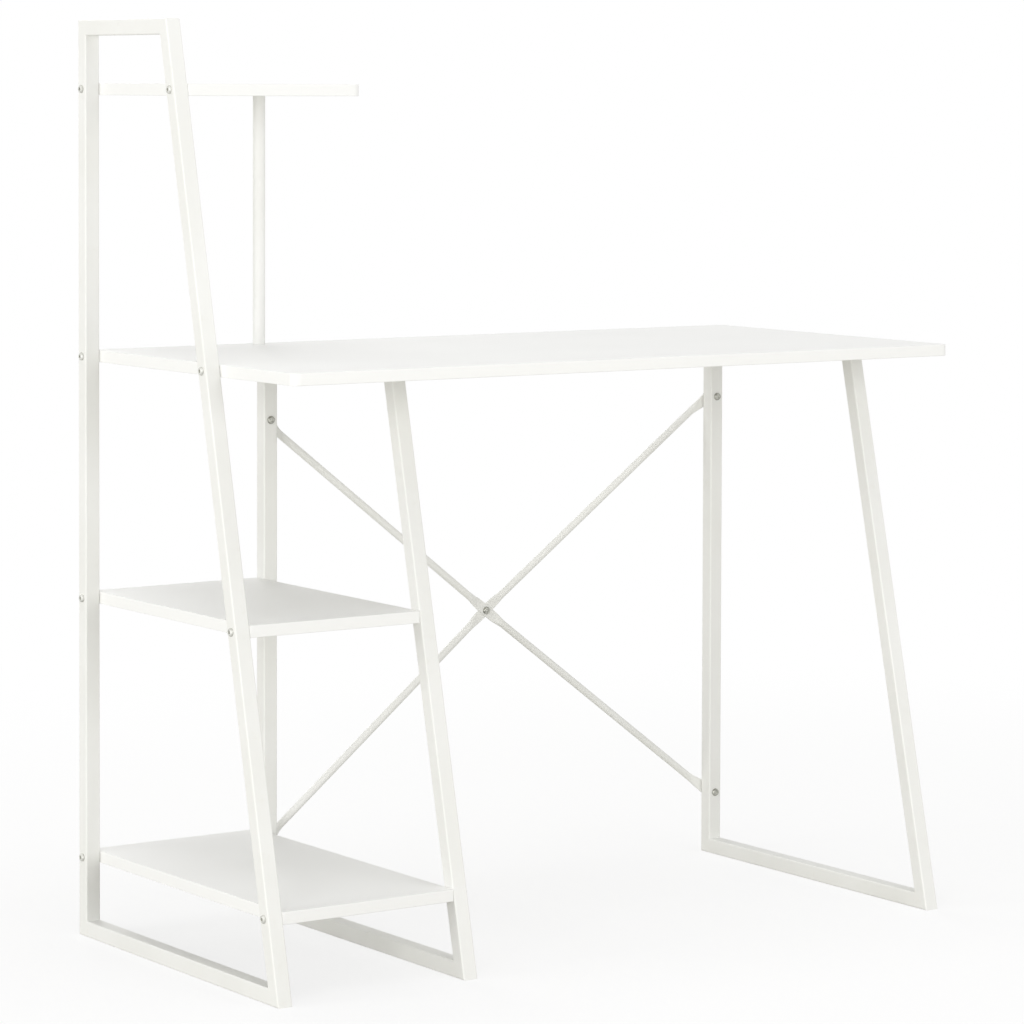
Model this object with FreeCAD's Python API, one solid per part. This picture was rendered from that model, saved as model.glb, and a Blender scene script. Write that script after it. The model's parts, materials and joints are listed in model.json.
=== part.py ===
"""Computer desk with a side shelf rack: three welded tube frames, four boards, a shelf pole and two
crossed rear braces, held together with socket bolts. Millimetres, +X to the right, +Y to the rear, +Z up.
The origin is on the floor, at the middle of the whole desk's outline seen from above."""
import FreeCAD, Part
import math
import os

os.makedirs("parts", exist_ok=True)

Vector = FreeCAD.Vector
RIGHT = Vector(1, 0, 0)
REAR = Vector(0, 1, 0)
UP = Vector(0, 0, 1)

# Overall sizes
desk_width = 1020.0           # left frame's outer face to the desktop's right end
desk_depth = 500.0            # posts' rear faces to the desktop's front edge
desk_height = 748.0           # floor to the desktop's upper face
tall_top_depth = 229.0        # front to rear over the top of the tall left frame

# Heights of the boards
board_thickness = 15.0
bottom_shelf_height = 108.0   # floor to the bottom shelf's upper face
lower_bay_height = 317.0      # clear height between the bottom and the middle shelf
pole_height = 324.0           # clear height between the desktop and the top shelf
frame_above_shelf = 80.0      # how far the tall frame stands above the top shelf

# Widths of the boards
shelf_width = 241.0           # clear width between the left and the middle frame
top_shelf_overhang = 7.0      # top shelf beyond the two lower shelves' right ends
desktop_overhang = 11.0       # desktop beyond the right frame's outer face

# Board edges
board_corner_radius = 10.0    # free corners of the desktop and the top shelf
square_corner_radius = 2.0    # corners that lie against a frame
board_edge_radius = 0.8

# Tube of the frames, square except in the low frames' top bars
tube_side = 20.0
low_bar_depth = 15.0
tube_wall = 1.2
tube_inner_radius = 0.8

# Round pole under the top shelf
pole_diameter = 16.0
pole_wall = 1.2
pole_end_inset = 15.0         # pole's axis to the top shelf's right end
pole_rear_inset = 20.0        # pole's axis to the top shelf's rear edge
plug_length = 18.0            # threaded plug inside each end of the pole
plug_gap = 0.1
pole_bolt_engagement = 15.0

# Crossed rear braces, round tube pressed flat at the ends and in the middle, and bowed to the rear
brace_diameter = 10.0
brace_wall = 0.8
brace_slit = 0.4              # gap left between the two walls where the tube is flat
brace_end_flat = 14.0         # end hole to the start of the taper
brace_middle_flat = 26.0
brace_taper = 22.0
brace_taper_steps = 4
brace_below_shelf = 15.0      # lower brace holes under the bottom shelf's bolts
brace_below_desktop = 85.0    # upper brace holes under the desktop's lower face
brace_bow = 21.0              # posts' rear faces to the face where the two braces touch
brace_seam_share = 0.1        # of a quarter turn, where a round section's edges meet

# Socket bolts with a domed head
bolt_diameter = 6.0
head_diameter = 10.5
head_height = 3.3
head_crown_diameter = 6.6     # flat crown round the socket
socket_width = 4.0
socket_depth = 2.0
bolt_tip_chamfer = 0.7
sunk_head_diameter = 12.0     # countersunk bolt in the top shelf, its head flush with the board
sunk_head_rim = 0.3
access_hole_diameter = 12.0   # under a bolt head that sits inside a low frame's top bar
thread_end = 1.0              # bolt beyond its nut
hole_gap = 0.3                # round a bolt in a plain hole
thread_gap = 0.1              # round a bolt in a threaded hole

# Thin hexagon nuts and washers behind the braces
nut_width = 10.0
nut_thickness = 3.2
nut_chamfer = 0.6
washer_diameter = 12.0
washer_hole_diameter = 6.4
washer_thickness = 1.6

# Barrel nuts let into the boards from below
barrel_diameter = 10.0
barrel_cover = 2.5            # board left above a barrel nut, and depth of its lower end
barrel_setback = 20.0         # board's end to the barrel nut's axis
barrel_slot_width = 1.2
barrel_slot_depth = 1.5
barrel_gap = 0.15

# Flanged insert nuts under the desktop
insert_diameter = 9.0
insert_cover = 5.0            # board left above an insert nut
insert_flange_diameter = 13.0
insert_flange_thickness = 1.0
insert_bolt_inset = 50.0      # inner face of a post or leg to the desktop's bolt

overrun = 1.0                 # how far a cutting shape passes beyond a face

# Sizes worked out from the ones above
half_tube = tube_side / 2
bolt_radius = bolt_diameter / 2
desk_underside = desk_height - board_thickness
middle_shelf_height = bottom_shelf_height + lower_bay_height + board_thickness
top_shelf_height = desk_height + pole_height + board_thickness
tall_height = top_shelf_height + frame_above_shelf
lean = (desk_depth - tall_top_depth) / tall_height
leg_angle = math.atan(lean)
low_top_depth = desk_depth - lean * desk_underside
brace_flat = 2 * brace_wall + brace_slit
brace_flat_width = brace_flat + math.pi * (brace_diameter - brace_flat) / 2
barrel_length = board_thickness - 2 * barrel_cover
insert_length = board_thickness - insert_cover

# Lengths of the bolts
side_bolt_length = tube_side + barrel_setback + barrel_diameter / 2
desktop_bolt_length = tube_wall + insert_length
pole_bolt_length = board_thickness + pole_bolt_engagement
brace_bolt_length = tube_side + brace_flat + washer_thickness + nut_thickness + thread_end
crossing_bolt_length = 2 * brace_flat + washer_thickness + nut_thickness + thread_end

# Places of the frames and boards, with the origin at the middle of the whole outline
crossing_face = brace_bow - brace_flat
rear_reach = max(brace_diameter, brace_bolt_length - tube_side, crossing_face + crossing_bolt_length)
left_face = (head_height - desk_width) / 2
rear_face = (desk_depth - rear_reach) / 2
front_face = rear_face - desk_depth
rack_left = left_face + tube_side
rack_right = rack_left + shelf_width
desktop_right = left_face + desk_width
right_frame_left = desktop_right - desktop_overhang - tube_side
top_shelf_right = rack_right + top_shelf_overhang
post_line = rear_face - half_tube
pole_x = top_shelf_right - pole_end_inset
pole_y = rear_face - pole_rear_inset
brace_left = rack_right + half_tube
brace_right = right_frame_left + half_tube
brace_low = bottom_shelf_height - board_thickness / 2 - brace_below_shelf
brace_high = desk_underside - brace_below_desktop


def leg_front(height):
    """Y of the leaning legs' front face at a height."""
    return front_face + lean * height


def leg_line(height):
    """Y of the leaning legs' centre line at a height."""
    return leg_front(height) + half_tube / math.cos(leg_angle)


def outline(points, radii):
    """Closed wire through the points, each corner rounded by its own radius."""
    edges, stops = [], []
    for index, (corner, radius) in enumerate(zip(points, radii)):
        back = (points[index - 1] - corner).normalize()
        ahead = (points[(index + 1) % len(points)] - corner).normalize()
        half = back.getAngle(ahead) / 2
        bisector = (back + ahead).normalize()
        start = corner + back * (radius / math.tan(half))
        finish = corner + ahead * (radius / math.tan(half))
        middle = corner + bisector * (radius / math.sin(half) - radius)
        if radius:
            edges.append(Part.Arc(start, middle, finish).toShape())
        stops.append((start, finish))
    for index, (start, finish) in enumerate(stops):
        following = stops[(index + 1) % len(stops)][0]
        edges.append(Part.LineSegment(finish, following).toShape())
    return Part.Wire(Part.__sortEdges__(edges))


def placed(shape, place, direction):
    """Turns a shape's +Z to a direction and moves its origin to a place."""
    shape = shape.copy()
    shape.Placement = FreeCAD.Placement(place, FreeCAD.Rotation(UP, direction))
    return shape


def rod(place, direction, radius, length):
    """Plain cylinder from a place along a direction."""
    return Part.makeCylinder(radius, length, place, direction)


def hexagon(width, height):
    """Hexagonal prism on the origin, measured across its flats."""
    corner = RIGHT * (width / 2 / math.cos(math.pi / 6))
    points = [FreeCAD.Rotation(UP, turn * 60).multVec(corner) for turn in range(7)]
    return Part.Face(Part.makePolygon(points)).extrude(UP * height)


def tube_section(depth, radius, margin):
    """Rounded face across a frame's width and a tube's depth, set in by a margin."""
    low, right, inner = margin, tube_side - margin, depth - margin
    points = [Vector(low, low, 0), Vector(right, low, 0), Vector(right, inner, 0), Vector(low, inner, 0)]
    return Part.Face(outline(points, [radius] * len(points)))


def frame_tube(start, finish, inward, depth):
    """Hollow tube whose outer edge runs from start to finish, its depth going inward, with spare length."""
    along = RIGHT.cross(inward)
    if (finish - start).dot(along) < 0:
        start, finish = finish, start
    length = (finish - start).Length + 2 * overrun
    section = tube_section(depth, tube_inner_radius + tube_wall, 0)
    section = section.cut(tube_section(depth, tube_inner_radius, tube_wall))
    tube = section.extrude(UP * length)
    turn = FreeCAD.Rotation(RIGHT, inward, along, "ZXY")
    tube.Placement = FreeCAD.Placement(start - along * overrun, turn)
    return tube


def frame_tubes(left, height, top_depth, bar_depth):
    """The four mitred tubes of one frame, by name. Its top bar has a depth of its own."""
    rear_foot = Vector(left, rear_face, 0)
    front_foot = Vector(left, front_face, 0)
    front_top = Vector(left, rear_face - top_depth, height)
    rear_top = Vector(left, rear_face, height)
    corners = [rear_foot, front_foot, front_top, rear_top]
    depths = {"floor_bar": tube_side, "front_leg": tube_side, "top_bar": bar_depth, "rear_post": tube_side}
    names = list(depths)
    mitres = []
    for index, corner in enumerate(corners):
        back = (corners[index - 1] - corner).normalize()
        ahead = (corners[(index + 1) % len(corners)] - corner).normalize()
        inner = back * depths[names[index]] + ahead * depths[names[index - 1]]
        mitres.append(inner * (1 / math.sin(back.getAngle(ahead))))
    tubes = {}
    for index, name in enumerate(names):
        following = (index + 1) % len(corners)
        start, finish = corners[index], corners[following]
        inward = (finish - start).normalize().cross(RIGHT)
        tube = frame_tube(start, finish, inward, depths[name])
        wedge_points = [start - mitres[index] / 2, finish - mitres[following] / 2,
                        finish + mitres[following] * 3 / 2, start + mitres[index] * 3 / 2]
        wedge_points = [point - RIGHT * overrun for point in wedge_points]
        wedge = Part.Face(Part.makePolygon(wedge_points + wedge_points[:1]))
        wedge = wedge.extrude(RIGHT * (tube_side + 2 * overrun))
        tubes[name] = tube.common(wedge).Solids[0]
    return tubes


def cross_holes(tube, left, places):
    """Bores bolt holes through a tube along X, at (y, z) places."""
    for y, z in places:
        start = Vector(left - overrun, y, z)
        tube = tube.cut(rod(start, RIGHT, bolt_radius + hole_gap, tube_side + 2 * overrun))
    return tube


def board(left, right, front, top, corner_radii):
    """Board with softened edges. Corner radii run front left, front right, rear right, rear left."""
    points = [Vector(left, front, 0), Vector(right, front, 0),
              Vector(right, rear_face, 0), Vector(left, rear_face, 0)]
    blank = Part.Face(outline(points, corner_radii)).extrude(UP * board_thickness)
    blank.translate(UP * (top - board_thickness))
    level = [edge for edge in blank.Edges if abs(edge.BoundBox.ZLength) < board_edge_radius]
    return blank.makeFillet(board_edge_radius, level)


def barrel_seat(solid, edge, toward, place):
    """Bores one bolt hole from a board's end and the barrel nut's blind hole from below."""
    y, z = place
    start = Vector(edge, y, z) - toward * overrun
    solid = solid.cut(rod(start, toward, bolt_radius + hole_gap, side_bolt_length - tube_side + 2 * overrun))
    pit = Vector(edge, y, z - board_thickness / 2 - overrun) + toward * barrel_setback
    pit_height = overrun + board_thickness - barrel_cover + barrel_gap
    return solid.cut(rod(pit, UP, barrel_diameter / 2 + barrel_gap, pit_height))


def bolt(length, place, outward):
    """Socket bolt whose head sits on a face at a place and points outward."""
    head_radius, crown_radius = head_diameter / 2, head_crown_diameter / 2
    shoulder = (head_radius + crown_radius) / 2 + (head_radius - crown_radius) / 4
    rim, crown = Vector(head_radius, 0, 0), Vector(crown_radius, 0, head_height)
    dome = Part.Arc(rim, Vector(shoulder, 0, head_height * 2 / 3), crown).toShape()
    tip = Vector(bolt_radius - bolt_tip_chamfer, 0, -length)
    stem = [crown, Vector(0, 0, head_height), Vector(0, 0, -length), tip,
            Vector(bolt_radius, 0, bolt_tip_chamfer - length), Vector(bolt_radius, 0, 0), rim]
    rest = [Part.LineSegment(first, second).toShape() for first, second in zip(stem, stem[1:])]
    profile = Part.Face(Part.Wire([dome] + rest))
    solid = profile.revolve(Vector(0, 0, 0), UP, 360)
    socket = hexagon(socket_width, socket_depth + overrun)
    socket.translate(UP * (head_height - socket_depth))
    return placed(solid.cut(socket), place, outward)


def sunk_blank(length):
    """Turned shape of a countersunk bolt, its flat head under the origin."""
    head_radius = sunk_head_diameter / 2
    neck = bolt_radius - head_radius - sunk_head_rim
    tip_radius = bolt_radius - bolt_tip_chamfer
    corners = [(0, 0), (head_radius, 0), (head_radius, -sunk_head_rim), (bolt_radius, neck),
               (bolt_radius, bolt_tip_chamfer - length), (tip_radius, -length), (0, -length)]
    points = [Vector(x, 0, z) for x, z in corners]
    return Part.Face(Part.makePolygon(points + points[:1])).revolve(Vector(0, 0, 0), UP, 360)


def sunk_bolt(length, place, outward):
    """Countersunk socket bolt whose head is flush with a face at a place and points outward."""
    socket = hexagon(socket_width, socket_depth + overrun)
    socket.translate(UP * -socket_depth)
    return placed(sunk_blank(length).cut(socket), place, outward)


def hexagon_nut(place, outward):
    """Hexagon nut that stands on a face, its corners chamfered."""
    corner_radius = nut_width / 2 / math.cos(math.pi / 6)
    blank = Part.makeCylinder(corner_radius, nut_thickness)
    blank = blank.makeChamfer(nut_chamfer, [edge for edge in blank.Edges if edge.Closed])
    solid = hexagon(nut_width, nut_thickness).common(blank)
    bore = rod(UP * -overrun, UP, bolt_radius + thread_gap, nut_thickness + 2 * overrun)
    return placed(solid.cut(bore), place, outward)


def washer(place, outward):
    """Flat washer that lies on a face."""
    disc = Part.makeCylinder(washer_diameter / 2, washer_thickness)
    bore = rod(UP * -overrun, UP, washer_hole_diameter / 2, washer_thickness + 2 * overrun)
    return placed(disc.cut(bore), place, outward)


def barrel_nut(edge, toward, place):
    """Upright barrel nut inside a board, with a cross hole for the bolt and a slot in its lower end."""
    y, z = place
    foot = Vector(edge, y, z - barrel_length / 2) + toward * barrel_setback
    solid = rod(foot, UP, barrel_diameter / 2, barrel_length)
    thread = Vector(edge, y, z) + toward * (barrel_setback - barrel_diameter)
    solid = solid.cut(rod(thread, toward, bolt_radius + thread_gap, barrel_diameter * 2))
    slot = Part.makeBox(barrel_diameter * 2, barrel_slot_width, barrel_slot_depth + overrun,
                        foot - Vector(barrel_diameter, barrel_slot_width / 2, overrun))
    return solid.cut(slot)


def insert_nut(place):
    """Flanged insert nut, its flange flush with the desktop's lower face."""
    solid = rod(place, UP, insert_diameter / 2, insert_length)
    solid = solid.fuse(rod(place, UP, insert_flange_diameter / 2, insert_flange_thickness)).removeSplitter()
    return solid.cut(rod(place - UP * overrun, UP, bolt_radius + thread_gap, insert_length + 2 * overrun))


def brace_section(station, thickness, middle, margin):
    """Wire of a brace tube at a station: two flats and two half rounds, or a circle where it is round."""
    half_flat = math.pi * (brace_diameter - thickness) / 4
    radius = thickness / 2 - margin
    seam = brace_seam_share * math.pi / 2
    is_round = thickness == brace_diameter
    rise = radius * math.cos(seam) if is_round else radius
    side = radius * math.sin(seam) if is_round else half_flat
    rear_low, rear_high = Vector(station, middle + rise, -side), Vector(station, middle + rise, side)
    front_high, front_low = Vector(station, middle - rise, side), Vector(station, middle - rise, -side)
    top, bottom = Vector(station, middle, half_flat + radius), Vector(station, middle, -half_flat - radius)
    if is_round:
        rear = Part.Arc(rear_low, Vector(station, middle + radius, 0), rear_high).toShape()
        front = Part.Arc(front_high, Vector(station, middle - radius, 0), front_low).toShape()
    else:
        rear = Part.LineSegment(rear_low, rear_high).toShape()
        front = Part.LineSegment(front_high, front_low).toShape()
    upper = Part.Arc(rear_high, top, front_high).toShape()
    lower = Part.Arc(front_low, bottom, rear_low).toShape()
    return Part.Wire([rear, upper, front, lower])


def brace_stations(length, crossing_line):
    """Stations along a brace as (place, share pressed flat, line that the flat part's middle lies on)."""
    end_line = brace_flat / 2
    half = length / 2
    stretches = [(brace_end_flat, brace_end_flat + brace_taper, end_line),
                 (half - brace_middle_flat / 2, half - brace_middle_flat / 2 - brace_taper, crossing_line),
                 (half + brace_middle_flat / 2, half + brace_middle_flat / 2 + brace_taper, crossing_line),
                 (length - brace_end_flat, length - brace_end_flat - brace_taper, end_line)]
    stations = []
    for flat_end, round_end, line in stretches:
        for step in range(brace_taper_steps + 1):
            share = step / brace_taper_steps
            pressed = 1 - share * share * (3 - 2 * share)
            stations.append((flat_end + (round_end - flat_end) * share, pressed, line))
    return sorted(stations)


def brace_tube(length, crossing_line, margin, reach):
    """Loft along a brace through its stations, set in by a margin, reaching past both end holes."""
    sections = []
    ends = [(-reach, 1, brace_flat / 2), (length + reach, 1, brace_flat / 2)]
    for place, pressed, line in sorted(brace_stations(length, crossing_line) + ends):
        thickness = brace_diameter + (brace_flat - brace_diameter) * pressed
        bow_share = 1 - abs(2 * place / length - 1)
        round_line = brace_diameter / 2 + (crossing_line - brace_diameter / 2) * bow_share
        middle = round_line + (line - round_line) * pressed
        sections.append(brace_section(place, thickness, middle, margin))
    return Part.makeLoft(sections, True, True)


def brace(start_height, finish_height, crossing_line):
    """Brace from the middle frame's post to the right frame's post, on the posts' rear faces."""
    rise = finish_height - start_height
    length = math.hypot(brace_right - brace_left, rise)
    round_end = brace_flat_width / 2
    solid = brace_tube(length, crossing_line, 0, round_end)
    solid = solid.cut(brace_tube(length, crossing_line, brace_wall, round_end + overrun))
    depth = brace_bow + brace_diameter + 2 * overrun
    for end, inner in ((0, RIGHT), (length, -RIGHT)):
        centre = Vector(end, -overrun, 0)
        block = Part.makeBox(round_end + overrun, depth, brace_flat_width + 2 * overrun)
        corner_x = end if inner.x < 0 else end - round_end - overrun
        block.translate(Vector(corner_x, -overrun, -round_end - overrun))
        solid = solid.cut(block.cut(rod(centre, REAR, round_end, depth)))
        solid = solid.cut(rod(centre, REAR, bolt_radius + hole_gap, depth))
    solid = solid.cut(rod(Vector(length / 2, -overrun, 0), REAR, bolt_radius + hole_gap, depth))
    solid = solid.Solids[0]
    tilt = FreeCAD.Rotation(REAR, -math.degrees(math.atan2(rise, brace_right - brace_left)))
    solid.Placement = FreeCAD.Placement(Vector(brace_left, rear_face, start_height), tilt)
    return solid


def write(name, solids):
    """Writes one node's STEP file, checks its solids and prints its volume."""
    assert all(solid.isValid() and solid.Volume > 0 for solid in solids), name
    shape = solids[0] if len(solids) == 1 else Part.makeCompound(solids)
    shape.exportStep("parts/" + name + ".step")
    print(f"{name}: {len(solids)} solid(s), {sum(solid.Volume for solid in solids) / 1000:.1f} cm3")


# Heights of the bolts in the boards' ends, and their places on the post and the leg
bottom_middle = bottom_shelf_height - board_thickness / 2
middle_middle = middle_shelf_height - board_thickness / 2
desktop_middle = desk_height - board_thickness / 2
top_middle = top_shelf_height - board_thickness / 2
rack_heights = [bottom_middle, middle_middle]
left_heights = rack_heights + [desktop_middle, top_middle]
brace_heights = [brace_low, brace_high]
insert_places = [rear_face - tube_side - insert_bolt_inset,
                 rear_face - low_top_depth + tube_side + insert_bolt_inset]


def end_places(height):
    """Places (y, z) of the two bolts that hold one end of a board, on the post and on the leg."""
    return [(post_line, height), (leg_line(height), height)]


# Frames
frames = {"left": (left_face, tall_height, tall_top_depth, tube_side, left_heights),
          "middle": (rack_right, desk_underside, low_top_depth, low_bar_depth, rack_heights),
          "right": (right_frame_left, desk_underside, low_top_depth, low_bar_depth, [])}
for side, (left, height, top_depth, bar_depth, bolt_heights) in frames.items():
    tubes = frame_tubes(left, height, top_depth, bar_depth)
    posts, legs = zip(*[end_places(level) for level in bolt_heights]) if bolt_heights else ((), ())
    tubes["rear_post"] = cross_holes(tubes["rear_post"], left, posts)
    tubes["front_leg"] = cross_holes(tubes["front_leg"], left, legs)
    if side != "left":
        for level in brace_heights:
            start = Vector(left + half_tube, rear_face - tube_side - overrun, level)
            hole = rod(start, REAR, bolt_radius + hole_gap, tube_side + 2 * overrun)
            tubes["rear_post"] = tubes["rear_post"].cut(hole)
        for y in insert_places:
            start = Vector(left + half_tube, y, desk_underside - low_bar_depth - overrun)
            hole = rod(start, UP, bolt_radius + hole_gap, low_bar_depth + 2 * overrun)
            access = rod(start, UP, access_hole_diameter / 2, tube_wall + 2 * overrun)
            tubes["top_bar"] = tubes["top_bar"].cut(hole).cut(access)
    for name, tube in tubes.items():
        write(side + "_" + name, tube.Solids)

# Boards
free, square = board_corner_radius, square_corner_radius
desktop = board(rack_left, desktop_right, front_face, desk_height, [free, free, free, square])
top_shelf = board(rack_left, top_shelf_right, leg_front(top_middle), top_shelf_height,
                  [square, free, free, square])
middle_shelf = board(rack_left, rack_right, leg_front(middle_middle), middle_shelf_height, [square] * 4)
bottom_shelf = board(rack_left, rack_right, leg_front(bottom_middle), bottom_shelf_height, [square] * 4)
for place in end_places(desktop_middle):
    desktop = barrel_seat(desktop, rack_left, RIGHT, place)
for place in end_places(top_middle):
    top_shelf = barrel_seat(top_shelf, rack_left, RIGHT, place)
for edge, toward in ((rack_left, RIGHT), (rack_right, -RIGHT)):
    for place in end_places(middle_middle):
        middle_shelf = barrel_seat(middle_shelf, edge, toward, place)
    for place in end_places(bottom_middle):
        bottom_shelf = barrel_seat(bottom_shelf, edge, toward, place)

# Insert nuts under the desktop and the bolts that hold the low frames, their heads inside the top bars
insert_feet = [Vector(left + half_tube, y, desk_underside)
               for left in (rack_right, right_frame_left) for y in insert_places]
for foot in insert_feet:
    desktop = desktop.cut(rod(foot - UP * overrun, UP, insert_diameter / 2 + barrel_gap,
                              insert_length + barrel_gap + overrun))
    desktop = desktop.cut(rod(foot - UP * overrun, UP, insert_flange_diameter / 2 + barrel_gap,
                              insert_flange_thickness + overrun))
write("desktop_insert_nuts", [insert_nut(foot) for foot in insert_feet])
write("desktop_frame_bolts", [bolt(desktop_bolt_length, foot - UP * tube_wall, -UP) for foot in insert_feet])

# Pole between the desktop and the top shelf, its plugs and its bolts
pole_foot = Vector(pole_x, pole_y, desk_height)
pole_head = Vector(pole_x, pole_y, desk_height + pole_height)
pole = rod(pole_foot, UP, pole_diameter / 2, pole_height)
pole = pole.cut(rod(pole_foot, UP, pole_diameter / 2 - pole_wall, pole_height))
write("shelf_pole", [pole])
plugs = []
for foot in (pole_foot, pole_head - UP * plug_length):
    plug = rod(foot, UP, pole_diameter / 2 - pole_wall - plug_gap, plug_length)
    plugs.append(plug.cut(rod(foot, UP, bolt_radius + thread_gap, plug_length)))
write("pole_end_plugs", plugs)
pole_hole = rod(pole_foot - UP * (board_thickness + overrun), UP, bolt_radius + hole_gap,
                board_thickness + 2 * overrun)
pole_top = pole_head + UP * board_thickness
desktop = desktop.cut(pole_hole)
top_shelf = top_shelf.cut(pole_hole.translated(UP * (pole_height + board_thickness)))
top_shelf = top_shelf.cut(sunk_blank(board_thickness).translated(pole_top))
write("pole_bolts", [bolt(pole_bolt_length, pole_foot - UP * board_thickness, -UP),
                     sunk_bolt(pole_bolt_length, pole_top, UP)])

for name, solid in (("desktop", desktop), ("top_shelf", top_shelf),
                    ("middle_shelf", middle_shelf), ("bottom_shelf", bottom_shelf)):
    write(name, solid.Solids)

# Bolts through the left frame into all four boards, and through the middle frame into the two lower shelves
left_places = [place for height in left_heights for place in end_places(height)]
rack_places = [place for height in rack_heights for place in end_places(height)]
write("left_frame_bolts", [bolt(side_bolt_length, Vector(left_face, y, z), -RIGHT) for y, z in left_places])
write("left_barrel_nuts", [barrel_nut(rack_left, RIGHT, place) for place in left_places])
write("middle_frame_bolts", [bolt(side_bolt_length, Vector(rack_right + tube_side, y, z), RIGHT)
                             for y, z in rack_places])
write("middle_barrel_nuts", [barrel_nut(rack_right, -RIGHT, place) for place in rack_places])

# Rear braces, the falling one in front where they cross
write("falling_brace", [brace(brace_high, brace_low, brace_bow - brace_flat / 2)])
write("rising_brace", [brace(brace_low, brace_high, brace_bow + brace_flat / 2)])
post_places = [Vector(x, rear_face, z) for x in (brace_left, brace_right) for z in brace_heights]
crossing = Vector((brace_left + brace_right) / 2, rear_face + crossing_face, (brace_low + brace_high) / 2)
washer_places = [place + REAR * brace_flat for place in post_places] + [crossing + REAR * 2 * brace_flat]
write("brace_bolts", [bolt(brace_bolt_length, place - REAR * tube_side, -REAR) for place in post_places])
write("crossing_bolt", [bolt(crossing_bolt_length, crossing, -REAR)])
write("brace_washers", [washer(place, REAR) for place in washer_places])
write("brace_nuts", [hexagon_nut(place + REAR * washer_thickness, REAR) for place in washer_places])
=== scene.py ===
# %% [markdown]
# A computer desk with a side rack: three welded frames of square tube, four white boards, a round pole,
# two crossed braces behind the knees, and the socket bolts that hold it all together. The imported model
# already has every piece at its real size, so this file adds the finish of each surface, bolts with cut
# threads and sockets, a plain floor, soft light and a camera. Everything is in metres, +Z is up, the
# sitter looks along +Y, and the rack stands at the left.

import json
import math
from collections import Counter

import bmesh
import bpy
from mathutils import Matrix, Vector


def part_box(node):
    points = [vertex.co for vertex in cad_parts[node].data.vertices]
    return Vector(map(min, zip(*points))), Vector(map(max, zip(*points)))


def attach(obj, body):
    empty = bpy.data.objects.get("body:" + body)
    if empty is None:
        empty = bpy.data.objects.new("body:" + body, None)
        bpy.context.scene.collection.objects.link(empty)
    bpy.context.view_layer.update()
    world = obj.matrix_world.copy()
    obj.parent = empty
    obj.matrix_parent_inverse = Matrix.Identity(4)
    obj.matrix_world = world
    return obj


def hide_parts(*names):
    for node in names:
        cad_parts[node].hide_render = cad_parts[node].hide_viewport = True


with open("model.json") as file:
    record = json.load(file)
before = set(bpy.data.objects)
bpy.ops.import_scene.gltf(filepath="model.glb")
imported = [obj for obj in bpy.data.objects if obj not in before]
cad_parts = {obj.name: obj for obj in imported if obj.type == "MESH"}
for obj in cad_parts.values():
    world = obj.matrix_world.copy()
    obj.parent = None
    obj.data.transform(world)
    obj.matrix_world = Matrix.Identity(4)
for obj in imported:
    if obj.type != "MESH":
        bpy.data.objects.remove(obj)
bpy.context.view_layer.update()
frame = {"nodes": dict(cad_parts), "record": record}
nodes = frame["nodes"]
MM = 0.001
RIGHT, REAR, UP = Vector((1, 0, 0)), Vector((0, 1, 0)), Vector((0, 0, 1))
print("nodes:", len(nodes))

# %% [markdown]
# Most places follow from a few faces of the desk. The posts' rear faces, the left frame's outer face and
# the floor make a corner that all the rest is measured from. The front legs lean, so their middle line is
# worked out from the frame's depth at the floor and at its top.

# %% Measure the desk
post_low, post_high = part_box("left_rear_post")
tube_side = post_high.x - post_low.x
left_face, rear_face = post_low.x, post_high.y
front_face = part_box("left_floor_bar")[0].y
top_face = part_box("left_top_bar")[0].y
frame_depth = rear_face - front_face
lean = (frame_depth - (rear_face - top_face)) / post_high.z
post_line = rear_face - tube_side / 2


def leg_line(height):
    """Y of the leaning legs' middle line at a height."""
    return front_face + lean * height + tube_side / 2 * math.hypot(1, lean)


print("tube", round(tube_side, 4), "depth", round(frame_depth, 4), "lean", round(lean, 4))

# %% [markdown]
# The camera stands to the front left, five metres away, and looks through a long lens with its picture
# moved sideways and down, as a product picture is often cropped. Its place was found by matching the
# desk's edges, and is given from the corner named above. A long lens keeps the frames' posts almost
# parallel. The picture is 1024 pixels wide and high, so the focal length and the centre of view are
# easiest to give in pixels.

# %% Camera
PICTURE = 1024
EYE = Vector((-2.3599, -4.5076, 1.0875))
YAW, PITCH, ROLL = math.radians(35.374), math.radians(2.3015), math.radians(0.2278)
FOCAL_PIXELS = 3974.9
CENTRE_PIXELS = (617.9, 244.6)

ahead = Vector((math.sin(YAW), math.cos(YAW), 0))
across = Vector((math.cos(YAW), -math.sin(YAW), 0))
view_ahead = ahead * math.cos(PITCH) - UP * math.sin(PITCH)
level_up = UP * math.cos(PITCH) + ahead * math.sin(PITCH)
view_right = across * math.cos(ROLL) + level_up * math.sin(ROLL)
view_up = level_up * math.cos(ROLL) - across * math.sin(ROLL)

camera_data = bpy.data.cameras.new("camera")
camera_data.sensor_fit = "HORIZONTAL"
camera_data.lens = FOCAL_PIXELS / PICTURE * camera_data.sensor_width
camera_data.shift_x = (PICTURE / 2 - CENTRE_PIXELS[0]) / PICTURE
camera_data.shift_y = (CENTRE_PIXELS[1] - PICTURE / 2) / PICTURE
camera_data.clip_end = 50
camera = bpy.data.objects.new("camera", camera_data)
bpy.context.scene.collection.objects.link(camera)
axes = Matrix((view_right, view_up, -view_ahead)).transposed()
camera.matrix_world = Matrix.Translation(EYE + Vector((left_face, rear_face, 0))) @ axes.to_4x4()
bpy.context.scene.camera = camera
bpy.context.scene.view_settings.view_transform = "Standard"
print(f"lens {camera_data.lens:.1f} mm, shift {camera_data.shift_x:.3f}, {camera_data.shift_y:.3f}")

# %% [markdown]
# A shader is a sum of small nodes, and a sum reads best as a sum. The class below wraps one output of a
# node, so that `1 - mask * 0.3` adds the Math nodes by itself.

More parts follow.
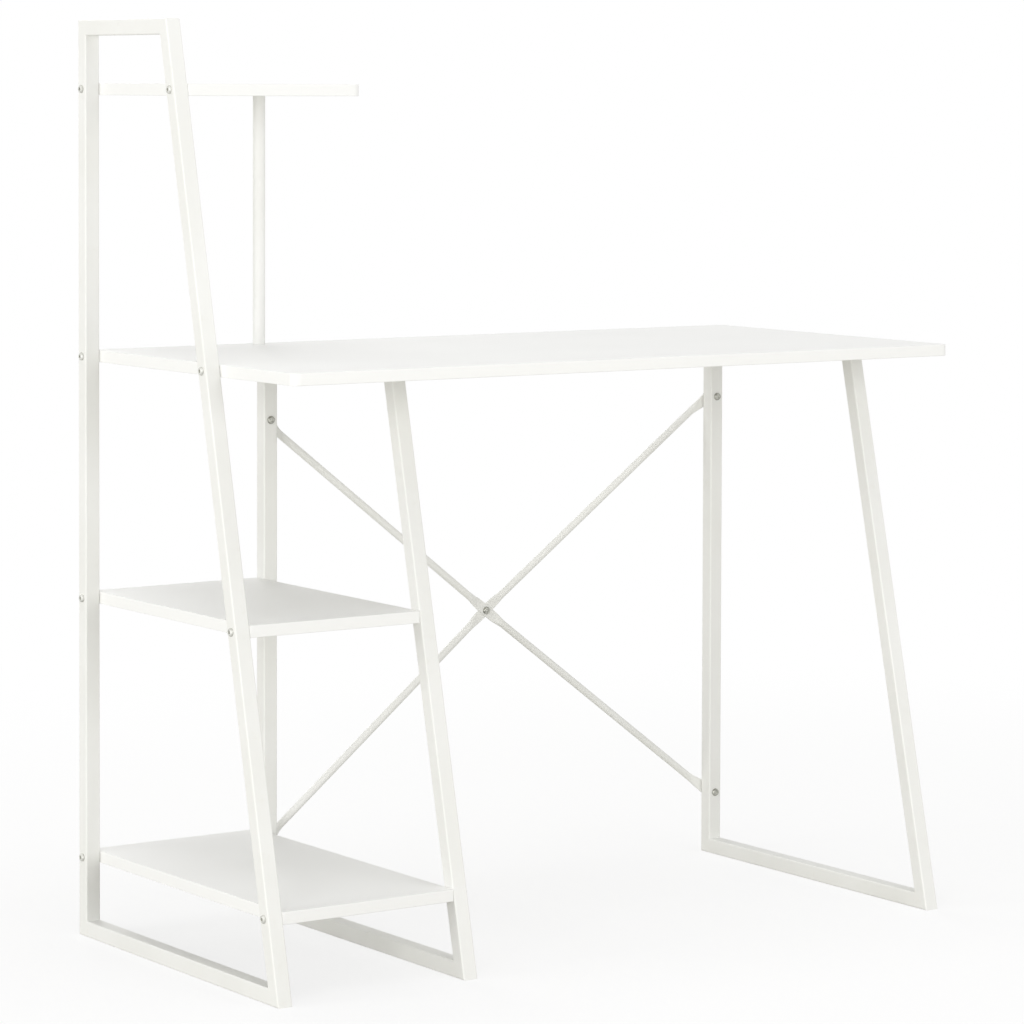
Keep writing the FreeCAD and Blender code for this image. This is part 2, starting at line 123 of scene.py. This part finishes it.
# %% Sums of nodes
class Flow:
    """One output of a node, which can stand in a sum as a number does."""

    def __init__(self, finish, socket):
        self.finish = finish
        self.socket = socket

    def math(self, operation, first, second=0.0):
        return self.finish.node("Math", {"operation": operation}, {0: first, 1: second})

    def __add__(self, other):
        return self.math("ADD", self, other)

    def __sub__(self, other):
        return self.math("SUBTRACT", self, other)

    def __rsub__(self, other):
        return self.math("SUBTRACT", other, self)

    def __mul__(self, other):
        return self.math("MULTIPLY", self, other)

    __radd__ = __add__
    __rmul__ = __mul__

    def absolute(self):
        return self.math("ABSOLUTE", self)

    def at_most(self, other):
        return self.math("MINIMUM", self, other)

    def at_least(self, other):
        return self.math("MAXIMUM", self, other)

    def between(self, low, high):
        """0 at low and 1 at high, with a soft step between them."""
        limits = {"Value": self, "From Min": low, "From Max": high}
        return self.finish.node("MapRange", {"interpolation_type": "SMOOTHSTEP"}, limits, "Result")


# %% [markdown]
# A second class holds a material's tree and has one method for every other node: its kind, its settings
# and what goes into its sockets. The patterns that all finishes share stand on that method: noise, a blend
# of two colours and a bump. Noise is laid out in metres over the whole desk, so its size is a real one.

# %% Finishes
class Finish:
    """A material, or the world, and its node tree."""

    def __init__(self, owner, end="OutputMaterial"):
        self.owner = owner
        owner.use_nodes = True
        self.tree = owner.node_tree
        self.tree.nodes.clear()
        self.end = self.tree.nodes.new("ShaderNode" + end)

    def node(self, kind, settings=None, values=None, output=0):
        """Adds a node: its settings are set first, and then its sockets are filled or linked."""
        made = self.tree.nodes.new("ShaderNode" + kind)
        for key, value in (settings or {}).items():
            setattr(made, key, value)
        for key, value in (values or {}).items():
            if isinstance(value, Flow):
                self.tree.links.new(value.socket, made.inputs[key])
            else:
                made.inputs[key].default_value = value
        return Flow(self, made.outputs[output])

    def noise(self, size, detail=2.0, roughness=0.5):
        """Noise from 0 to 1 over the object, its features about a size across, in metres."""
        place = self.node("NewGeometry", output="Position")
        values = {"Vector": place, "Scale": 1 / size, "Detail": detail, "Roughness": roughness}
        return self.node("TexNoise", None, values)

    def blend(self, share, first, second):
        """A colour between two colours."""
        return self.node("Mix", {"data_type": "RGBA"}, {0: share, 6: first, 7: second}, output=2)

    def bump(self, height, depth):
        """The normal of a surface whose height runs from 0 to 1 over a depth in metres."""
        return self.node("Bump", None, {"Height": height, "Distance": depth}, "Normal")

    def finished(self, shader):
        """Ends the tree in a shader and returns the material."""
        self.tree.links.new(shader.socket, self.end.inputs["Surface"])
        print("finish", self.owner.name, "of", len(self.tree.nodes), "nodes")
        return self.owner


def surface(name):
    """An empty finish for a new material."""
    return Finish(bpy.data.materials.new(name))


def srgb(red, green, blue):
    """A colour given as picture values from 0 to 255."""
    return (*[((value / 255 + 0.055) / 1.055) ** 2.4 for value in (red, green, blue)], 1)


# %% [markdown]
# The frames are mild steel tube with a baked powder coat, a warm off-white with a satin gloss. The powder
# flows together in the oven and leaves a fine orange peel, two or three millimetres from dimple to dimple,
# with a much finer grain on it. Both are noise that only feeds the bump, a few hundredths of a millimetre
# deep. The colour drifts by a percent or two, as a coat of uneven thickness does. The same coat is on the
# pole and the braces.

# %% Powder coat
def powder_coat():
    coat = surface("powder_coat")
    peel = coat.noise(0.0028, detail=1.5)
    grain = coat.noise(0.0005)
    drift = coat.noise(0.12, detail=3)
    thin = coat.noise(0.018, detail=4)
    shade = coat.blend(drift.between(0.35, 0.65), srgb(240, 240, 237), srgb(237, 237, 233))
    colour = coat.blend(thin.between(0.62, 0.8) * 0.5, shade, srgb(233, 232, 226))
    return coat.finished(coat.node("BsdfPrincipled", None, {
        "Base Color": colour, "Roughness": 0.44 + thin * 0.1 + grain * 0.05,
        "Normal": coat.bump(peel * 0.85 + grain * 0.15, 0.00002)}))


frame_paint = powder_coat()

# %% [markdown]
# The boards are chipboard with a white melamine face and a glued edge band. The face was pressed against
# an etched plate and keeps its fine pearl grain. The band is smoother and a touch brighter, and the
# trimmer leaves a thin line where it meets the face, on the rounded edge. The surface normal tells the
# two apart: it points up or down on a face and sideways on a band, and the rounded edge has every angle
# between. So one material does for all four boards, wherever they stand.

# %% White melamine
def melamine():
    board = surface("white_melamine")
    normal = board.node("NewGeometry", output="Normal")
    tilt = board.node("SeparateXYZ", None, {"Vector": normal}, "Z").absolute()
    face = tilt.between(0.5, 0.9)
    seam = 1 - ((tilt - 0.62).absolute() * 7).at_most(1)
    pearl = board.noise(0.0006, detail=3)
    flow = board.noise(0.004)
    drift = board.noise(0.25)
    face_colour = board.blend(drift.between(0.3, 0.7), srgb(243, 243, 241), srgb(241, 241, 239))
    colour = board.blend(face, srgb(246, 246, 244), face_colour)
    colour = board.blend(seam * 0.25, colour, srgb(214, 212, 205))
    return board.finished(board.node("BsdfPrincipled", None, {
        "Base Color": colour, "Roughness": 0.3 + face * 0.1 + pearl * 0.1,
        "Normal": board.bump(pearl * face * 0.7 + flow * 0.3, 0.00003)}))


board_white = melamine()

# %% [markdown]
# The bolts, nuts and washers are steel with a thin zinc plate. It dulls to a warm grey in patches, and has
# fine marks from the tumbling barrel. The zinc comes as two copies of one plate: a lighter one, nearly white
# with a painted reflection of the bright lamps at the left, for the bolts in the boards' ends, and a greyer
# one with painted shade, for the braces. The nuts that are let into the boards have a plainer, yellower
# zinc. The punched sockets are painted pale, a painted highlight for the light caught in their floors, so
# from across a room a head reads as a ring with a bright middle.

# %% Zinc plate
def zinc(name, bright, dull, roughness):
    plate = surface(name)
    patches = plate.noise(0.004, detail=4)
    marks = plate.noise(0.0009, detail=3, roughness=0.7)
    colour = plate.blend(patches.between(0.35, 0.7), bright, dull)
    return plate.finished(plate.node("BsdfPrincipled", None, {
        "Base Color": colour, "Metallic": 1.0, "Roughness": roughness + patches * 0.12 + marks * 0.1,
        "Normal": plate.bump(marks, 0.00002)}))


# The socket steel is painted pale: a painted highlight for the light caught in a socket's floor.
def highlight_socket_steel():
    steel = surface("socket_steel")
    patches = steel.noise(0.0012, detail=3)
    colour = steel.blend(patches.between(0.3, 0.7), srgb(188, 188, 181), srgb(216, 216, 210))
    return steel.finished(steel.node("BsdfPrincipled", None, {
        "Base Color": colour, "Metallic": 0.7, "Roughness": 0.45 + patches * 0.15,
        "Normal": steel.bump(patches, 0.00002)}))


# The first two zincs are one plate in two copies: the lighter one carries a painted reflection of the bright
# left lamps, the greyer one painted shade.
bolt_zinc = zinc("lit_zinc", srgb(210, 210, 205), srgb(190, 190, 184), 0.5)
brace_zinc = zinc("shaded_zinc", srgb(174, 174, 166), srgb(144, 144, 137), 0.3)
nut_zinc = zinc("yellow_zinc", srgb(190, 184, 160), srgb(158, 152, 130), 0.34)
socket_steel = highlight_socket_steel()

# %% [markdown]
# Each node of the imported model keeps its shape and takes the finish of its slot. The bolts, nuts and
# washers that show get better pieces further down.

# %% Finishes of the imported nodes
finish_of = {"frame_paint": frame_paint, "board_white": board_white, "bolt_zinc": bolt_zinc,
             "brace_zinc": brace_zinc, "nut_zinc": nut_zinc}
slot_of = {part["node"]: part["material_slot"] for part in frame["record"]["subparts"]}
for name, slot in slot_of.items():
    for place in nodes[name].material_slots:
        place.material = finish_of[slot]
print("finished:", len(slot_of), "nodes")

# %% [markdown]
# Bolts, nuts and washers are turned pieces: stacks of rings round an axis. Every ring has the same number
# of points, so two neighbours join with plain quads. A ring's radius and height may change with the angle,
# which makes a hexagon, or the curve where a cone cuts one, as easy as a circle. All of a bolt's pieces
# share one frame: the origin is on the face that the head sits on, or is sunk into, +Z points out of the
# head, and the sizes are in millimetres.

# %% Rings
POINTS = 48
TURNS = [2 * math.pi * index / POINTS for index in range(POINTS + 1)]
MERGE_GAP = 0.002 * MM
SHARP_ANGLE = math.radians(32)


def ring(height, radius):
    """Points round the axis, the first one repeated at the end."""
    points = []
    for turn in TURNS:
        spread = radius(turn) if callable(radius) else radius
        level = height(turn) if callable(height) else height
        points.append(Vector((spread * math.cos(turn), spread * math.sin(turn), level)) * MM)
    return points


def hexagon(width):
    """The radius of a hexagon, measured across its flats, at an angle."""
    return lambda turn: width / 2 / math.cos(turn % (math.pi / 3) - math.pi / 6)


def turned(name, rings, socket_rows=0):
    """A mesh over rings. Its first rows of faces, those of a socket, take the second material."""
    shape = bmesh.new()
    rows = [[shape.verts.new(point) for point in points] for points in rings]
    for level, (row, following) in enumerate(zip(rows, rows[1:])):
        for index in range(POINTS):
            face = shape.faces.new((row[index], row[index + 1], following[index + 1], following[index]))
            face.material_index = 1 if level < socket_rows else 0
            face.smooth = True
    bmesh.ops.remove_doubles(shape, verts=shape.verts, dist=MERGE_GAP)
    bmesh.ops.recalc_face_normals(shape, faces=shape.faces)
    open_edges = sum(not edge.is_manifold for edge in shape.edges)
    mesh = bpy.data.meshes.new(name)
    shape.to_mesh(mesh)
    shape.free()
    mesh.set_sharp_from_angle(angle=SHARP_ANGLE)
    print(name, len(mesh.polygons), "faces,", open_edges, "open edges")
    return mesh


print("points in a ring:", POINTS)

# %% [markdown]
# An M6 thread climbs one millimetre in each turn. Each of its rows climbs with it, so the last point of a
# row is the first point of the row one pitch higher, and merging the doubled points closes the helix. At
# the ends the rows are held at a height, where they fall together and merge as well. A nut is cut with the
# same groove in the same frame, a little wider, so its thread runs in the bolt's thread.

# %% Threads
PITCH, CREST, ROOT = 1.0, 3.0, 2.46
ROWS_PER_TURN = 4
FLANK, ROOT_FLAT = 1.25, 0.12


def groove(height, turn):
    """Radius of the thread at a height and an angle."""
    climb = (height / PITCH - turn / (2 * math.pi)) % 1
    ridge = min(1, max(0, FLANK * abs(2 * climb - 1) - ROOT_FLAT))
    return ROOT + (CREST - ROOT) * ridge


def thread(low, high, gap=0.0):
    """Rows of a thread from a low to a high end, widened by a gap."""
    rows = []
    rise = PITCH / ROWS_PER_TURN
    for step in range(math.floor(low / rise) - ROWS_PER_TURN, math.ceil(high / rise) + 1):
        def level(turn):
            return min(max(step * rise + PITCH * turn / (2 * math.pi), low), high)
        rows.append(ring(level, lambda turn: groove(level(turn), turn) + gap))
    return rows


print("thread:", 2 * CREST, "mm over the crests,", 2 * ROOT, "mm at the root")

# %% [markdown]
# The bolts are furniture bolts with a domed head and a hexagon socket for a 4 mm key. The head is upset
# from the wire, so its dome runs in one curve from the flat crown to the rim, and its edge is soft. The
# socket is punched: a chamfered mouth, six walls and a shallow cone at the bottom. The bolt through the
# raised shelf has a countersunk head instead, flush with the board, so that things can stand on it.

# %% Heads of the bolts
HEAD_RADIUS, HEAD_HEIGHT, CROWN_RADIUS = 5.25, 3.3, 3.3
DOME_STEPS, SOFT_EDGE = 10, 0.2
SUNK_RADIUS, SUNK_RIM, SUNK_FACE, SEAT_GAP = 6.0, 0.3, 5.85, 0.02
SOCKET_WIDTH, SOCKET_DEPTH, MOUTH_RADIUS = 4.0, 2.0, 2.5
SOCKET_TAPER, SOCKET_CONE, SOCKET_CHAMFER = 0.05, 0.4, 0.25


def socket(top):
    """Rings of a socket, from its middle to its mouth in a flat at a height."""
    floor = top - SOCKET_DEPTH
    return [ring(floor - SOCKET_CONE, 0), ring(floor, hexagon(SOCKET_WIDTH - SOCKET_TAPER)),
            ring(top - SOCKET_CHAMFER, hexagon(SOCKET_WIDTH)), ring(top, MOUTH_RADIUS)]


def domed_head():
    """Rings of a domed head, from the rim of its crown to the shank."""
    rings = [ring(HEAD_HEIGHT, CROWN_RADIUS)]
    for step in range(1, DOME_STEPS + 1):
        bend = math.pi / 2 * step / DOME_STEPS
        level = SOFT_EDGE + (HEAD_HEIGHT - SOFT_EDGE) * math.cos(bend)
        rings.append(ring(level, CROWN_RADIUS + (HEAD_RADIUS - CROWN_RADIUS) * math.sin(bend)))
    return rings + [ring(SOFT_EDGE / 4, HEAD_RADIUS - SOFT_EDGE / 4), ring(0, HEAD_RADIUS - SOFT_EDGE),
                    ring(0, CREST)]


def sunk_head():
    """Rings of a flat countersunk head, from its face to the shank."""
    rim = SUNK_RADIUS - SEAT_GAP
    return [ring(0, SUNK_FACE), ring(-SOFT_EDGE / 4, rim), ring(-SUNK_RIM, rim),
            ring(CREST - SUNK_RADIUS - SUNK_RIM, CREST - SEAT_GAP)]


print("heads:", 2 * HEAD_RADIUS, "mm domed and", 2 * SUNK_RADIUS, "mm countersunk")

# %% [markdown]
# The shank is plain under the head, where the bolt passes through a tube, and the thread is rolled on the
# rest, down to a short blunt tip. Bolts of one node stand side by side and look the same way, so the
# node's box is as long as a head and a shank, and the length is read from it. Only the two bolts of the
# pole look opposite ways, and theirs is given.

# %% Bolts
NECK = 0.15     # from the head's seat down to the shank
SHANK_RADIUS = CREST - 0.05
TIP_LENGTH, TIP_RADIUS, TIP_DISH = 0.6, ROOT - 0.25, 0.1
POLE_BOLT = 30.0


def bolt(plate, length, plain, sunk=False):
    """The mesh of a bolt with a finish, a length and a plain stretch under its head."""
    rings = socket(0 if sunk else HEAD_HEIGHT)
    rings += sunk_head() if sunk else domed_head()
    neck = CREST - SUNK_RADIUS - SUNK_RIM - SOFT_EDGE / 2 if sunk else -NECK
    rings += [ring(neck, SHANK_RADIUS), ring(-plain, SHANK_RADIUS)]
    rings += thread(TIP_LENGTH - length, -plain)[::-1]
    rings += [ring(-length, TIP_RADIUS), ring(TIP_DISH - length, 0)]
    mesh = turned(f"{'sunk_' if sunk else ''}bolt_{length:.1f}", rings, socket_rows=2)
    mesh.materials.append(plate)
    mesh.materials.append(socket_steel)
    return mesh


def reach(node, axis):
    """How far a bolt node reaches along an axis under its heads, in millimetres."""
    low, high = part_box(node)
    return round((high - low)[axis] / MM - HEAD_HEIGHT, 3)


side_bolt = bolt(bolt_zinc, reach("left_frame_bolts", 0), plain=21)
under_bolt = bolt(bolt_zinc, reach("desktop_frame_bolts", 2), plain=1.3)
pole_bolt = bolt(bolt_zinc, POLE_BOLT, plain=12)
sunk_bolt = bolt(bolt_zinc, POLE_BOLT, plain=12, sunk=True)
brace_bolt = bolt(brace_zinc, reach("brace_bolts", 1), plain=14)
crossing_bolt = bolt(brace_zinc, reach("crossing_bolt", 1), plain=1)

# %% [markdown]
# Behind each brace joint sits a flat washer. It is punched from a sheet, so one rim is rounded where the
# punch went in, and the other is sharp. Its section is a closed line of heights and radii, turned round
# the bolt's axis.

# %% Washers
WASHER = {"outer": 6.0, "inner": 3.2, "thickness": 1.6}


def washer(grip):
    """The mesh of a washer that lies a grip below the bolt's head."""
    top, low = -grip, -grip - WASHER["thickness"]
    outer, inner = WASHER["outer"], WASHER["inner"]
    sections = [(top, inner + 0.12), (top, outer - 0.3), (top - 0.1, outer - 0.09), (top - 0.3, outer),
                (low + 0.06, outer), (low, outer - 0.06), (low, inner + 0.2), (low + 0.25, inner),
                (top - 0.08, inner), (top, inner + 0.12)]
    rings = [ring(*section) for section in sections]
    mesh = turned(f"washer_{grip:.1f}", rings)
    mesh.materials.append(brace_zinc)
    return mesh


print("washer:", WASHER)

# %% [markdown]
# A thin hexagon nut lies on the washer. It is chamfered at both ends: a cone meets the six flats in the
# arched lines that a real nut shows. The height of that curve is the cone's own, worked out at each angle
# from how far the hexagon reaches beyond the cone's small end.

# %% Nuts
NUT = {"width": 10.0, "thickness": 3.2, "face": 4.75, "mouth": 3.4, "chamfer": 0.3}
NUT_SLOPE = math.tan(math.radians(30))
THREAD_GAP = 0.05


def nut(grip):
    """The mesh of a nut that lies on the washer."""
    top = -grip - WASHER["thickness"]
    low = top - NUT["thickness"]
    first, last = low + NUT["chamfer"], top - NUT["chamfer"]
    face, mouth, flats = NUT["face"], NUT["mouth"], hexagon(NUT["width"])

    def cut(turn):
        return (flats(turn) - face) * NUT_SLOPE

    rings = thread(first, last, gap=THREAD_GAP)
    rings += [ring(top, mouth), ring(top, face), ring(lambda turn: top - cut(turn), flats),
              ring(lambda turn: low + cut(turn), flats), ring(low, face), ring(low, mouth),
              ring(first, lambda turn: groove(first, turn) + THREAD_GAP)]
    mesh = turned(f"nut_{grip:.1f}", rings)
    mesh.materials.append(brace_zinc)
    return mesh


print("nut:", NUT)

# %% [markdown]
# The grip is what a bolt holds, from its head down to the washer. At a post that is the tube and the end of
# a brace, pressed flat. Where the braces cross, it is what the washer, the nut and the shown end leave of
# the bolt's length.

# %% Washers and nuts of the joints
THREAD_SHOWN = 1.0     # the end of a bolt beyond its nut
brace_flat = (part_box("brace_washers")[0].y - rear_face) / MM
post_grip = tube_side / MM + brace_flat
crossing_grip = reach("crossing_bolt", 1) - WASHER["thickness"] - NUT["thickness"] - THREAD_SHOWN
print("grips:", round(post_grip, 2), round(crossing_grip, 2))
post_washer, post_nut = washer(post_grip), nut(post_grip)
crossing_washer, crossing_nut = washer(crossing_grip), nut(crossing_grip)

# %% [markdown]
# Every bolt is an object of its own, on a mesh that its kind shares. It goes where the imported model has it,
# and a nut and a washer take the matrix of their bolt. No fitter stops all keys at the same angle, so each
# bolt is turned by a step of its own.

# %% Fit a fastener
SPIN = math.radians(37)
counts = Counter()


def fit(place, outward, *kinds):
    """Sets a bolt, and what belongs on it, on a face at a place. Kinds are pairs of a node and a mesh."""
    spin = Matrix.Rotation(SPIN * (counts[kinds[0][0]] + 1), 4, "Z")
    stand = Matrix.Translation(place) @ outward.to_track_quat("Z", "Y").to_matrix().to_4x4() @ spin
    for node, mesh in kinds:
        counts[node] += 1
        piece = bpy.data.objects.new(f"{node.removesuffix('s')}_{counts[node]}", mesh)
        bpy.context.scene.collection.objects.link(piece)
        piece.matrix_world = stand
        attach(piece, "root")
        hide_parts(node)


def middle(node):
    """The middle of a node's box."""
    low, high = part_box(node)
    return (low + high) / 2


print("step of the keys:", round(math.degrees(SPIN)), "degrees")

# %% [markdown]
# The boards hang on bolts through the frames' sides, one through the post and one through the leaning leg,
# at the middle of the board's thickness. The left frame carries all four boards. The middle frame carries
# the right ends of the two lower shelves, and their bolts have the heads towards the sitter's knees.

# %% Bolts of the boards
rack_shelves = ["bottom_shelf", "middle_shelf"]
middle_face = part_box("middle_rear_post")[1].x
for height in [middle(board).z for board in rack_shelves + ["desktop", "top_shelf"]]:
    for y in (post_line, leg_line(height)):
        fit(Vector((left_face, y, height)), -RIGHT, ("left_frame_bolts", side_bolt))
for height in [middle(board).z for board in rack_shelves]:
    for y in (post_line, leg_line(height)):
        fit(Vector((middle_face, y, height)), RIGHT, ("middle_frame_bolts", side_bolt))
print("bolts of the boards:", dict(counts))

# %% [markdown]
# The two low frames hold the desktop from below, with the heads inside their top bars, and the braces'
# ends, with the heads at the front of the posts. All of these stand on the middle line of their frame.
# The outer rims of the heads are the ends of the node's box, so each bolt stands a head's radius inside it.

# %% Bolts of the desktop and the braces
head_radius = HEAD_RADIUS * MM
under_low, under_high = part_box("desktop_frame_bolts")
brace_low, brace_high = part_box("brace_bolts")
under_seat = under_low.z + HEAD_HEIGHT * MM
for x in (middle("middle_rear_post").x, middle("right_rear_post").x):
    for y in (under_low.y + head_radius, under_high.y - head_radius):
        fit(Vector((x, y, under_seat)), -UP, ("desktop_frame_bolts", under_bolt))
    for z in (brace_low.z + head_radius, brace_high.z - head_radius):
        fit(Vector((x, rear_face - tube_side, z)), -REAR, ("brace_bolts", brace_bolt),
            ("brace_washers", post_washer), ("brace_nuts", post_nut))
print("with the desktop and the braces:", counts.total())

# %% [markdown]
# The pole has a bolt in each end, a domed one from under the desktop and a countersunk one from the top of
# the raised shelf. The last bolt holds the two braces together where they cross.

# %% Bolts of the pole and the crossing
pole = middle("shelf_pole")
pole_seats = (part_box("desktop")[0].z, -UP, pole_bolt), (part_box("top_shelf")[1].z, UP, sunk_bolt)
for level, outward, mesh in pole_seats:
    fit(Vector((pole.x, pole.y, level)), outward, ("pole_bolts", mesh))
crossing = middle("crossing_bolt")
crossing.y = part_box("crossing_bolt")[0].y + HEAD_HEIGHT * MM
fit(crossing, -REAR, ("crossing_bolt", crossing_bolt),
    ("brace_washers", crossing_washer), ("brace_nuts", crossing_nut))
print("fasteners:", counts.total(), dict(counts))

# %% [markdown]
# The desk stands on a plain pale floor that curves up far behind it, so that no horizon shows. To the
# camera the floor is mostly a white of strength 1, with enough of a lit white surface in it to keep the
# desk's shadow, and that share fades out a few steps from the desk. What the floor throws back onto the
# desk is the light of a plain, slightly warm floor. Light Path tells the two apart, and the glossy and
# transmission rays are with the camera's, so that metal mirrors the white as well. The white is no lamp,
# so no rays are aimed at it, which leaves less noise in the picture.

# %% Floor finish
SHADOW_SHARE = 0.25
SHADOW_FADE = (0.9, 2.4)
FLOOR_COLOUR = (0.56, 0.55, 0.505, 1)


def seen(finish):
    """1 for the rays of the camera, of a mirror and of glass, and 0 for the others."""
    rays = [finish.node("LightPath", output=kind) for kind in ("Is Camera Ray", "Is Glossy Ray",
                                                              "Is Transmission Ray")]
    return rays[0].at_least(rays[1]).at_least(rays[2])


def studio_floor():
    floor = surface("studio_floor")
    lit = floor.node("BsdfDiffuse", None, {"Color": (1, 1, 1, 1)})
    white = floor.node("Emission", None, {"Color": (1, 1, 1, 1), "Strength": 1.0})
    place = floor.node("NewGeometry", output="Position")
    distance = floor.node("VectorMath", {"operation": "LENGTH"}, {0: place}, "Value")
    shadow = SHADOW_SHARE * (1 - distance.between(*SHADOW_FADE))
    shown = floor.node("MixShader", None, {0: shadow, 1: white, 2: lit})
    plain = floor.node("BsdfDiffuse", None, {"Color": FLOOR_COLOUR})
    return floor.finished(floor.node("MixShader", None, {0: seen(floor), 1: plain, 2: shown}))


floor_finish = studio_floor()
floor_finish.cycles.emission_sampling = "NONE"

# %% [markdown]
# The sweep is one strip of faces along a line: level under the desk, an arc of a quarter turn far behind
# it, and a wall above the arc.

# %% Floor sweep
FLOOR_LEFT, FLOOR_RIGHT, FLOOR_NEAR = -12.0, 12.0, -8.0
BEND, FAR, HIGH, ARC_STEP = 2.0, 6.0, 9.0, 6

sweep = bmesh.new()
line = [(FLOOR_NEAR, 0.0), (0.0, 0.0), (FAR, 0.0)]
for turn in range(ARC_STEP, 91, ARC_STEP):
    bend = math.radians(turn)
    line.append((FAR + BEND * math.sin(bend), BEND * (1 - math.cos(bend))))
line.append((FAR + BEND, HIGH))
strips = [[sweep.verts.new((x, y, z)) for y, z in line] for x in (FLOOR_LEFT, FLOOR_RIGHT)]
for index in range(len(line) - 1):
    near, far = ([strip[index + end] for strip in strips] for end in (0, 1))
    sweep.faces.new((*near, *far[::-1])).smooth = True
floor_mesh = bpy.data.meshes.new("studio_floor")
sweep.to_mesh(floor_mesh)
sweep.free()
floor_mesh.materials.append(floor_finish)
floor = bpy.data.objects.new("studio_floor", floor_mesh)
bpy.context.scene.collection.objects.link(floor)
print("floor:", len(floor_mesh.polygons), "faces")

# %% [markdown]
# The light is a ring of large soft boxes: overhead, in front, behind, and two far away at the left and the
# front left, with an even world between them that shows the camera the same white as the floor. The far
# boxes light both ends of the desk almost alike. Their powers were found one by one, so that a pale surface
# comes out about as its colour is written whichever way it faces, and the posts' fronts a little darker
# than their left sides.

# %% Lights
WORLD_LEVEL = 0.48


def soft_box(name, place, aim, size, power):
    """A square white area lamp that stands at a place and faces a point."""
    data = bpy.data.lights.new(name, "AREA")
    data.size, data.energy = size, power
    lamp = bpy.data.objects.new(name, data)
    bpy.context.scene.collection.objects.link(lamp)
    turn = (Vector(place) - Vector(aim)).to_track_quat("Z", "Y")
    lamp.matrix_world = Matrix.Translation(place) @ turn.to_matrix().to_4x4()
    print("lamp", name, power, "W")


room = bpy.data.worlds.new("studio")
bpy.context.scene.world = room
air = Finish(room, "OutputWorld")
level = WORLD_LEVEL + (1 - WORLD_LEVEL) * seen(air)
air.finished(air.node("Background", None, {"Color": (1, 1, 1, 1), "Strength": level}))
soft_box("overhead_box", (0, -0.6, 4.2), (0, 0, 0), 3.5, 48)
soft_box("left_box", (-7.5, 0.8, 1.6), (0, 0, 0.6), 3.0, 177)
soft_box("front_left_box", (-6.5, -5.0, 1.4), (0, 0, 0.5), 3.0, 175)
soft_box("front_box", (0.6, -4.5, 1.0), (0, 0, 0.5), 2.5, 68)
soft_box("rear_box", (0.3, 4.2, 2.2), (0, 0, 0.6), 2.5, 52)
